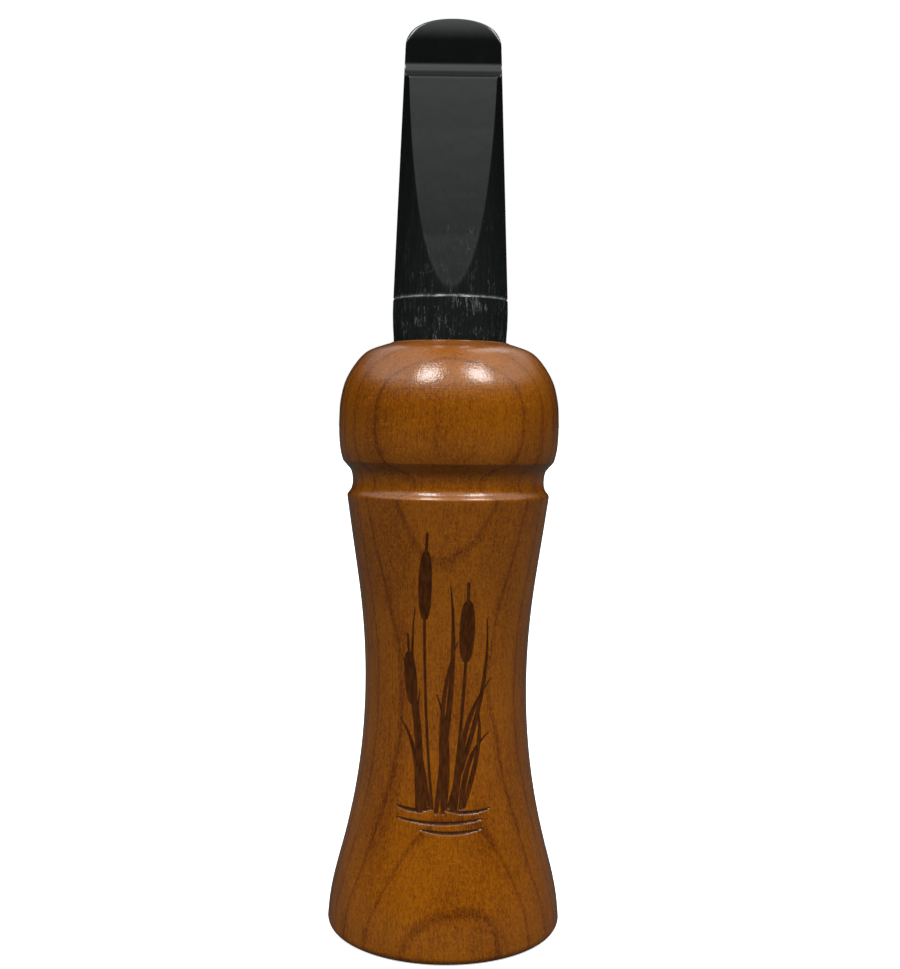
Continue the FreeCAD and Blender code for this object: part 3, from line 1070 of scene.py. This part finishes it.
@dataclass
class ToneBoard:
    """The black tone board: plug, scribed ring, bevelled snout, reed bed, channel and bore."""

    plug_low: float = 62.65
    plug: Curve = ((7.27, 62.65), (7.6, 62.78), (7.725, 63.1), (7.95, 81.8))
    swell: Curve = ((7.95, 81.8), (8.06, 83.4), (8.115, 85.3), (8.08, 87.0))
    ring_height: float = 87.3
    ring_depth: float = 0.15
    ring_spread: float = 0.13
    snout: Curve = ((8.05, 87.6), (6.62, 127.0))
    top: float = 127.0
    bevel_start: float = 87.9
    bevel: Curve = ((8.03, 87.9), (6.72, 95.5), (5.55, 103.0), (4.4, 110.5), (3.3, 118.05))
    cove_radius: float = 2.7
    lip_depth: float = 0.6
    roll_start: float = 123.8
    tip_depth: float = 0.26
    outline_start: float = 122.0
    outline_half_width: float = 6.77
    outline_powers: Pair = (2.1, 3.0)
    rim_scale: float = 4.2
    rim_thickness: float = 0.22
    rim_start: float = 123.3
    rim_full: float = 124.8
    rim_land: float = 0.4
    shoulder: float = 88.3
    bed: float = 3.0
    bed_curve_start: float = 90.3
    bed_curve_radius: float = 280.0
    channel_half_width: float = 1.8
    channel_end: float = 121.0
    channel_floor: Curve = ((85.0, -1.9), (95.0, -1.42), (105.0, -0.7), (113.0, 0.55), (121.0, 1.33))
    bore_radius: float = 3.0
    bore_offset: float = -0.8
    bore_end: float = 87.0
    slot_low: float = 82.2
    slot_half_width: float = 6.15
    slot_top: float = 3.37
    wedge_half_width: float = 4.74
    wedge_roof: Pair = (5.1, 5.45)
    slot_overrun: float = 1.0
    slot_lap: float = 0.05
    bore_sides: int = 72
    edge_ease: float = 0.14
    edge_break: float = 0.2
    column_count: int = 15
    least_flat_deg: float = 8.0
    lip_power: float = 1.6
    lip_wear: float = 0.05
    weld: float = 0.0004
    cut_weld: float = 0.0002
    crisp_deg: float = 32.0
    wear_top: float = 121.0
    wear_full: float = 86.0

    def radius(self, z: np.ndarray) -> np.ndarray:
        """Gives the turned radius at heights."""
        profile = np.array(list(self.plug) + list(self.swell[1:]) + list(self.snout))
        radius = np.interp(z, profile[:, 1], profile[:, 0])
        return radius - self.ring_depth * self.scribe(z)

    def scribe(self, z: np.ndarray) -> np.ndarray:
        """Gives how deep into the scribed ring heights lie, from 0 to 1."""
        return np.exp(-(((z - self.ring_height) / self.ring_spread) ** 2))

    def bed_offset(self, z: np.ndarray) -> np.ndarray:
        """Gives the reed bed's offset behind the axis at heights."""
        run = np.maximum(0.0, z - self.bed_curve_start)
        return self.bed - self.bed_curve_radius + np.sqrt(self.bed_curve_radius**2 - run**2)

    def front_depth(self, z: np.ndarray) -> np.ndarray:
        """Gives the depth in front of the axis of bevel, cove and lip at heights, and FAR below them."""
        bevel = np.array(self.bevel)
        depth = np.interp(z, bevel[:, 1], bevel[:, 0])
        cove_start = bevel[-1, 1]
        rise = np.clip(z - cove_start, 0.0, self.cove_radius)
        left = self.cove_radius - rise
        cove = self.lip_depth + self.cove_radius - np.sqrt(np.maximum(self.cove_radius**2 - left**2, 0.0))
        depth = depth - self.edge_break * rising(z, cove_start - self.edge_break, cove_start) ** 2
        roll = rising(z, self.roll_start, self.top) ** self.lip_power
        lip = self.lip_depth - (self.lip_depth - self.tip_depth) * roll
        depth = np.where(z > cove_start, np.where(z > cove_start + self.cove_radius, lip, cove), depth)
        return np.where(z < self.bevel_start, FAR, depth)

    def outline(self, z: np.ndarray) -> np.ndarray:
        """Gives the half width allowed by the rounded tip at heights."""
        across, along = self.outline_powers
        share = rising(z, self.outline_start, self.top)
        half = self.outline_half_width * (1 - share**along) ** (1 / across)
        return np.where(z < self.outline_start, FAR, half)

    def heights(self) -> np.ndarray:
        """Gives the rows of the mesh, closer together where the shape changes quickly."""
        groups = [
            np.linspace(self.plug_low, 63.1, 6),
            np.arange(63.6, 81.6, 2.0),
            np.arange(81.8, 86.8, 0.4),
            np.linspace(86.85, 87.8, 20),
            [self.bevel_start, self.bevel_start + 0.02, 88.05, self.shoulder - 0.12, self.shoulder - 0.03],
            [self.shoulder, self.shoulder + 0.001, self.shoulder + 0.2],
            np.arange(88.8, 117.8, 0.4),
            np.linspace(117.84, 118.04, 8),
            np.linspace(118.05, 120.9, 44),
            np.arange(121.0, 122.0, 0.2),
            self.outline_start + (self.top - self.outline_start) * np.sin(np.linspace(0, math.pi / 2, 40)),
        ]
        return np.unique(np.round(np.concatenate(groups), 4))

    def front_columns(self, z: np.ndarray, radius: np.ndarray, width: np.ndarray) -> np.ndarray:
        """Places the points of the near side of each row.

        Args:
            z: The rows' heights.
            radius: The turned radius of each row.
            width: The half width that the outline allows.

        Returns:
            Points indexed by row, then column, from -X to +X.
        """
        depth = self.front_depth(z)
        least = radius * math.sin(math.radians(self.least_flat_deg))
        corner = np.minimum(np.maximum(half_chord(radius, depth), least), width * 0.999)
        crowd = np.sin(np.linspace(0.0, math.pi / 2, self.column_count))
        x_flat = corner[:, None] * np.concatenate([-crowd[::-1], crowd[1:]])
        share = 0.5 - 0.5 * np.cos(np.linspace(0.0, math.pi, self.column_count))[1:]
        x_flank = self.flank(radius, corner, np.minimum(radius, width), share)
        x = np.concatenate([-x_flank[:, ::-1], x_flat, x_flank], axis=1)
        turned = half_chord(radius[:, None], x)
        y = -self.smooth_least(turned, np.broadcast_to(depth[:, None], turned.shape))
        return at_heights(x, y, z)

    def flank(self, radius: np.ndarray, start: np.ndarray, end: np.ndarray, share: np.ndarray) -> np.ndarray:
        """Spaces columns round the turned side of each row.

        Args:
            radius: The turned radius of each row.
            start: The distance across at which the columns start.
            end: The distance across at which they end.
            share: How far round each column lies, from 0 to 1.

        Returns:
            The columns' distances across, indexed by row, then column.
        """
        first, last = side_angle(start, radius), side_angle(end, radius)
        return radius[:, None] * np.sin(first[:, None] + (last - first)[:, None] * share)

    def smooth_least(self, a: np.ndarray, b: np.ndarray) -> np.ndarray:
        """Gives the smaller of two depths, with a small round where they meet."""
        blend = np.clip(0.5 + 0.5 * (b - a) / self.edge_ease, 0.0, 1.0)
        return b + (a - b) * blend - self.edge_ease * blend * (1 - blend) * 0.5

    def back_columns(self, z: np.ndarray, radius: np.ndarray, width: np.ndarray) -> np.ndarray:
        """Places the points of the far side of each row, from +X to -X.

        Args:
            z: The rows' heights.
            radius: The turned radius.
            width: The half width that the outline allows.

        Returns:
            Points indexed by row, then column.
        """
        bed = np.where(z < self.shoulder + 0.0005, FAR, self.bed_offset(z))
        flat = np.where(bed > radius, self.slot_half_width * 0.9, half_chord(radius, bed))
        corner = np.minimum(flat, width * 0.995)
        floor = np.array(self.channel_floor)
        channel = np.interp(z, floor[:, 0], floor[:, 1])
        open_here = (z > self.shoulder) & (z < self.channel_end)
        sink = np.where(open_here, np.maximum(bed - channel, 0.0), 0.0)
        wall = np.array([1.0, 0.999, 0.93, 0.8, 0.6, 0.3, 0.0])
        drop = np.array([0.0, 0.55, 0.8, 0.93, 1.0, 1.0, 1.0])
        x_channel = self.channel_half_width * np.concatenate([wall, -wall[-2::-1]])
        sunk = np.concatenate([drop, drop[-2::-1]])
        share = np.linspace(0.0, 1.0, 10)[1:-1]
        middle = x_channel * np.minimum(1.0, 0.3 * corner)[:, None]
        x_bed = corner[:, None] + (middle[:, 0] - corner)[:, None] * share
        round_share = np.linspace(0.0, 1.0, self.column_count)[1:]
        x_flank = self.flank(radius, np.minimum(radius, width), corner, round_share)
        x = np.concatenate([x_flank, x_bed, middle, -x_bed[:, ::-1], -x_flank[:, ::-1]], axis=1)
        y = np.minimum(half_chord(radius[:, None], x), bed[:, None])
        first = x_flank.shape[1] + x_bed.shape[1]
        y[:, first : first + len(sunk)] -= sink[:, None] * sunk
        return at_heights(x, y, z)

    def round_rim(self, rings: np.ndarray) -> np.ndarray:
        """Rounds the lip's thin rim, in points by row and column, towards the middle of its thickness."""
        x, y, z = rings[:, :, 0], rings[:, :, 1], rings[:, :, 2]
        across, along = self.outline_powers
        rise = np.maximum(z - self.outline_start, 0.0) / (self.top - self.outline_start)
        reach = np.abs(x / self.outline_half_width) ** across + rise**along
        inward = (1.0 - reach ** (2 / (across + along))) * self.rim_scale
        share = np.clip(inward / self.rim_thickness, 0.0, 1.0)
        round_off = self.rim_land + (1 - self.rim_land) * np.sqrt(np.maximum(1 - (1 - share) ** 2, 0.0))
        near_tip = rising(z, self.rim_start, self.rim_full)
        near_tip = near_tip**2 * (3 - 2 * near_tip)
        middle = 0.5 * (self.bed_offset(z) - self.front_depth(z))
        keep = 1.0 - near_tip * (1.0 - round_off)
        rings[:, :, 1] = middle + (y - middle) * np.where(near_tip > 0, keep, 1.0)
        return rings

    def loft(self) -> bpy.types.Object:
        """Lofts the whole board through its rows, without slot and bore."""
        z = self.heights()
        radius, width = self.radius(z), self.outline(z)
        sides = (self.front_columns(z, radius, width), self.back_columns(z, radius, width))
        obj = skin("tone_board_shaped", self.round_rim(np.concatenate(sides, axis=1)))
        tidy_mesh(obj, self.weld, self.crisp_deg)
        return obj

    def cut_slot_and_bore(self, obj: bpy.types.Object) -> None:
        """Cuts the slot for reed and wedge, and the bore through the plug."""
        over = self.shoulder + self.slot_overrun
        half = self.slot_half_width
        cut_away(obj, box_object("reed_slot", (-half, self.bed, self.slot_low), (half, self.slot_top, over)))
        half, roof_low, roof_high = self.wedge_half_width, *self.wedge_roof
        floor = self.slot_top - self.slot_lap
        wedge_slot = box_object("wedge_slot", (-half, floor, self.slot_low), (half, roof_high, over))
        for vertex in wedge_slot.data.vertices:
            if vertex.co.y > self.slot_top * MM and vertex.co.z < self.shoulder * MM:
                vertex.co.y = roof_low * MM
        cut_away(obj, wedge_slot)
        circle = arc_path((0.0, self.bore_offset), self.bore_radius, 0.0, 360.0, self.bore_sides + 1)[:-1]
        ends = (self.plug_low - self.slot_overrun, self.bore_end)
        rows = [np.column_stack([circle, np.full(len(circle), z)]) for z in ends]
        cut_away(obj, skin("tone_bore", np.array(rows)))

    def build(self, material: bpy.types.Material) -> None:
        """Builds the board, stores where it is scuffed and sets it on its body."""
        obj = self.loft()
        self.cut_slot_and_bore(obj)
        tidy_mesh(obj, self.cut_weld, self.crisp_deg)
        land_on(obj, (0.0, 0.0, self.top), (*turning_axis(), node_box("tone_board")[1][2]))
        points = np.empty(len(obj.data.vertices) * 3)
        obj.data.vertices.foreach_get("co", points)
        z = points.reshape(-1, 3)[:, 2] / MM
        seat = rising(z, self.wear_top, self.wear_full)
        lip = rising(z, self.roll_start, self.top)
        float_attribute(obj, "wear", np.maximum(seat, self.lip_wear * lip))
        float_attribute(obj, "ring", self.scribe(z))
        obj.data.materials.clear()
        obj.data.materials.append(material)
        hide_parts("tone_board")
        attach(obj, Body.TONE_BOARD.value)
        LOG.info("tone board: %d points", len(obj.data.vertices))


# ---- Reed and wedge ----


@dataclass
class Reed:
    """The film reed that bends over the bed when it is blown."""

    margin: Triple = (0.02, 0.01, 0.04)
    tip_length: float = 3.2
    edge: float = 0.05
    straight_rows: int = 60
    tip_rows: int = 16
    column_count: int = 13
    least_half: float = 0.06
    weld: float = 0.0004
    crisp_deg: float = 40.0

    def build(self, material: bpy.types.Material) -> None:
        """Builds the blade with rows close enough to bend smoothly."""
        low, high = node_box("reed") + np.outer((1, -1), self.margin)
        centre, half_width = (low[0] + high[0]) / 2, (high[0] - low[0]) / 2
        shoulder = high[2] - self.tip_length
        turn = np.linspace(0.0, math.pi / 2, self.tip_rows)[1:]
        straight = np.linspace(low[2], shoulder, self.straight_rows)
        heights = np.concatenate([straight, shoulder + self.tip_length * np.sin(turn)])
        halves = half_width * np.concatenate([np.ones(self.straight_rows), np.cos(turn)])
        across = np.linspace(-1.0, 1.0, self.column_count)
        middle = (low[1] + high[1]) / 2
        rings = []
        for z, half in zip(heights, np.maximum(halves, self.least_half)):
            front = [(centre + x * (half - self.edge), low[1], z) for x in across]
            back = [(centre + x * (half - self.edge), high[1], z) for x in across[::-1]]
            rings.append(front + [(centre + half, middle, z)] + back + [(centre - half, middle, z)])
        obj = skin("reed_blade", np.array(rings))
        tidy_mesh(obj, self.weld, self.crisp_deg)
        obj.data.materials.append(material)
        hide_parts("reed")
        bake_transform(obj)
        LOG.info("reed: %d points", len(obj.data.vertices))


@dataclass
class ReedWedge:
    """The key that holds the reed in its slot."""

    margin: Triple = (0.005, 0.005, 0.015)
    tongue: float = 6.2
    tongue_rise: Pair = (1.71, 2.05)
    nose_rise: float = 0.93
    nose_round: float = 1.4
    nose_points: int = 9
    edge: float = 0.13
    edge_segments: int = 3
    weld: float = 0.001
    crisp_deg: float = 30.0

    def side(self, low: np.ndarray, high: np.ndarray) -> list[tuple[float, float]]:
        """Gives the side outline as (offset, height), going once round between two corners."""
        floor, root, head_top, front = low[1], low[2], high[1], high[2]
        head = root + self.tongue
        corner = np.array([floor + self.nose_rise, front - self.nose_round])
        span = np.array([head_top, front]) - corner
        nose = corner + arc_path((0.0, 0.0), 1.0, 0.0, 90.0, self.nose_points) * span
        back, mouth = (floor + rise for rise in self.tongue_rise)
        points = [(floor, root), (back, root), (mouth, head), (head_top, head)]
        return points + [tuple(point) for point in nose] + [(floor, front)]

    def build(self, material: bpy.types.Material) -> None:
        """Builds the key with eased edges and sets it on its body."""
        low, high = node_box("reed_wedge") + np.outer((1, -1), self.margin)
        outline = self.side(low, high)
        rows = [[(x, y, z) for y, z in outline] for x in (low[0], high[0])]
        obj = skin("reed_wedge_key", np.array(rows))
        tidy_mesh(obj, self.weld, self.crisp_deg)
        bevel = obj.modifiers.new("eased edges", "BEVEL")
        bevel.width = self.edge * MM
        bevel.segments = self.edge_segments
        bevel.limit_method = "ANGLE"
        bevel.angle_limit = math.radians(self.crisp_deg)
        obj.data.materials.append(material)
        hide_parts("reed_wedge")
        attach(obj, Body.WEDGE.value)
        LOG.info("wedge: %d points", len(obj.data.vertices))


# ---- Studio ----


@dataclass
class Lamp:
    """One soft lamp, placed by its bearing and elevation from the part, with its width and height."""

    name: str
    bearing_deg: float
    elevation_deg: float
    width: float
    height: float
    watts: float


@dataclass
class Studio:
    """Pale floor in a dim room with soft light from above the front, and the camera."""

    distance: float = 0.180
    eye_share: float = 0.55378
    lens: float = 47.4
    shift_up: float = -0.0662
    shift_right: float = 0.001
    roll_deg: float = -0.7
    lamp_distance: float = 0.9
    room_strength: float = 2.1
    room_back: float = 0.36
    room_tint: Colour = (0.95, 1.0, 0.98)
    floor_lift: float = 0.6
    floor_bounce: Colour = (0.16, 0.16, 0.16)
    floor_mirrored: Colour = (0.02, 0.018, 0.014)
    floor_paper: tuple[Colour, Colour] = ((0.93, 0.93, 0.93), (0.96, 0.96, 0.96))
    floor_mottle: Grain = Grain(even(0.02))
    floor_tooth: Grain = Grain(even(1.5), 2.0)
    floor_low: Pair = (-6.0, -1.5)
    floor_high: Pair = (6.0, 12.0)
    sensor_width: float = 36.0
    clip_start: float = 0.01
    levels: Curve = (
        (-90.0, 0.04), (17.0, 0.01), (21.0, 0.03), (25.0, 0.12), (30.0, 0.42), (34.0, 0.75), (40.0, 1.0),
        (50.0, 0.78), (70.0, 0.75), (80.0, 0.3), (90.0, 0.2),
    )
    lamps: Sequence[Lamp] = (
        Lamp("lamp_left", -29.0, 50.0, 0.24, 0.34, 5.0),
        Lamp("lamp_back", 165.0, 62.0, 0.50, 0.50, 1.2),
        Lamp("lamp_right", 42.0, 50.0, 0.24, 0.34, 5.0),
    )

    def floor(self) -> None:
        """Builds the wide pale floor."""
        dresser = Dresser("pale_floor")
        graph, place = dresser.graph, dresser.place
        mottle = self.floor_mottle.value(graph, place)
        seen = graph.signal("ShaderNodeLightPath", "Is Camera Ray")
        lighting = graph.signal("ShaderNodeLightPath", "Is Diffuse Ray")
        bounce = graph.mix(lighting, self.floor_mirrored, self.floor_bounce)
        far = graph.rescale(graph.length(place), 60.0, 700.0, (self.floor_lift, 1.0))
        dresser.wire(
            Base_Color=graph.mix(seen, bounce, graph.mix(mottle, *self.floor_paper)),
            Roughness=graph.rescale(mottle, 0.3, 0.7, (0.75, 0.85)),
            Normal=graph.bump(self.floor_tooth.value(graph, place), 0.01),
            Emission_Color=(1.0, 1.0, 1.0),
            Emission_Strength=seen * far,
        )
        (left, near), (right, back) = self.floor_low, self.floor_high
        mesh = bpy.data.meshes.new("pale_floor")
        corners = [(left, near, 0.0), (right, near, 0.0), (right, back, 0.0), (left, back, 0.0)]
        mesh.from_pydata(corners, [], [(0, 1, 2, 3)])
        mesh.materials.append(dresser.material)
        obj = add_object("pale_floor", mesh)

    def target(self) -> Vector:
        """Gives the point on the call's middle line that lamps and camera face, in metres."""
        low, high = (Vector(corner) for corner in CAD_BOUNDS)
        middle = (low + high) / 2
        return Vector((middle.x, middle.y, low.z + self.eye_share * (high.z - low.z)))

    def light(self) -> None:
        """Adds the soft lamps, turned towards the part."""
        target = self.target()
        for lamp in self.lamps:
            data = bpy.data.lights.new(lamp.name, "AREA")
            data.shape = "RECTANGLE"
            data.size, data.size_y = lamp.width, lamp.height
            data.energy = lamp.watts
            obj = add_object(lamp.name, data)
            bearing, rise = math.radians(lamp.bearing_deg), math.radians(lamp.elevation_deg)
            level = math.cos(rise)
            toward = Vector((math.sin(bearing) * level, -math.cos(bearing) * level, math.sin(rise)))
            obj.location = target + toward * self.lamp_distance
            obj.rotation_euler = (-toward).to_track_quat("-Z", "Y").to_euler()

    def room(self) -> None:
        """Surrounds the part with a dim room, brighter high in front, that looks white behind the part."""
        world = bpy.data.worlds.new("room")
        bpy.context.scene.world = world
        world.use_nodes = True
        graph = Graph(world.node_tree)
        direction = graph.signal("ShaderNodeTexCoord", "Generated")
        split = graph.node("ShaderNodeSeparateXYZ", {0: direction})
        rise = Signal(graph, split.outputs["Z"]) * 0.5 + 0.5
        stops = [(0.5 + 0.5 * math.sin(math.radians(angle)), level) for angle, level in self.levels]
        front = graph.rescale(Signal(graph, split.outputs["Y"]) * -1.0, -0.5, 0.25, (self.room_back, 1.0))
        lit = graph.mix(1.0, graph.levels(rise, stops), front, "MULTIPLY")
        tinted = graph.mix(1.0, lit, self.room_tint, "MULTIPLY")
        dim = world.node_tree.nodes["Background"]
        graph.put(dim.inputs["Color"], tinted)
        dim.inputs["Strength"].default_value = self.room_strength
        white = graph.node("ShaderNodeBackground", {"Color": (1.0, 1.0, 1.0), "Strength": 1.0})
        seen = graph.signal("ShaderNodeLightPath", "Is Camera Ray")
        both = graph.node("ShaderNodeMixShader", {0: seen, 1: dim.outputs[0], 2: white.outputs[0]})
        graph.put(world.node_tree.nodes["World Output"].inputs["Surface"], both.outputs[0])

    def camera(self) -> None:
        """Places the camera level with the call's upper half, and chooses a plain tone curve."""
        data = bpy.data.cameras.new("camera")
        data.lens = self.lens
        data.sensor_width = self.sensor_width
        data.shift_x = self.shift_right
        data.shift_y = self.shift_up
        data.clip_start = self.clip_start
        obj = add_object("camera", data)
        obj.location = self.target() - Vector((0.0, self.distance, 0.0))
        obj.rotation_euler = (math.radians(90), math.radians(self.roll_deg), 0.0)
        scene = bpy.context.scene
        scene.camera = obj
        scene.view_settings.view_transform = "Standard"
        scene.view_settings.look = "None"

    def build(self) -> None:
        """Builds the whole studio."""
        self.floor()
        self.light()
        self.room()
        self.camera()
        LOG.info("studio: %d lamps", len(self.lamps))


def main() -> None:
    """Builds every piece in order."""
    logging.basicConfig(level=logging.INFO, format="%(name)s: %(message)s")
    Barrel().build(CherryFinish().make())
    ToneBoard().build(AcrylicFinish().make())
    Reed().build(FilmFinish().make())
    ReedWedge().build(WedgeFinish().make())
    Studio().build()


if __name__ == "__main__":
    main()
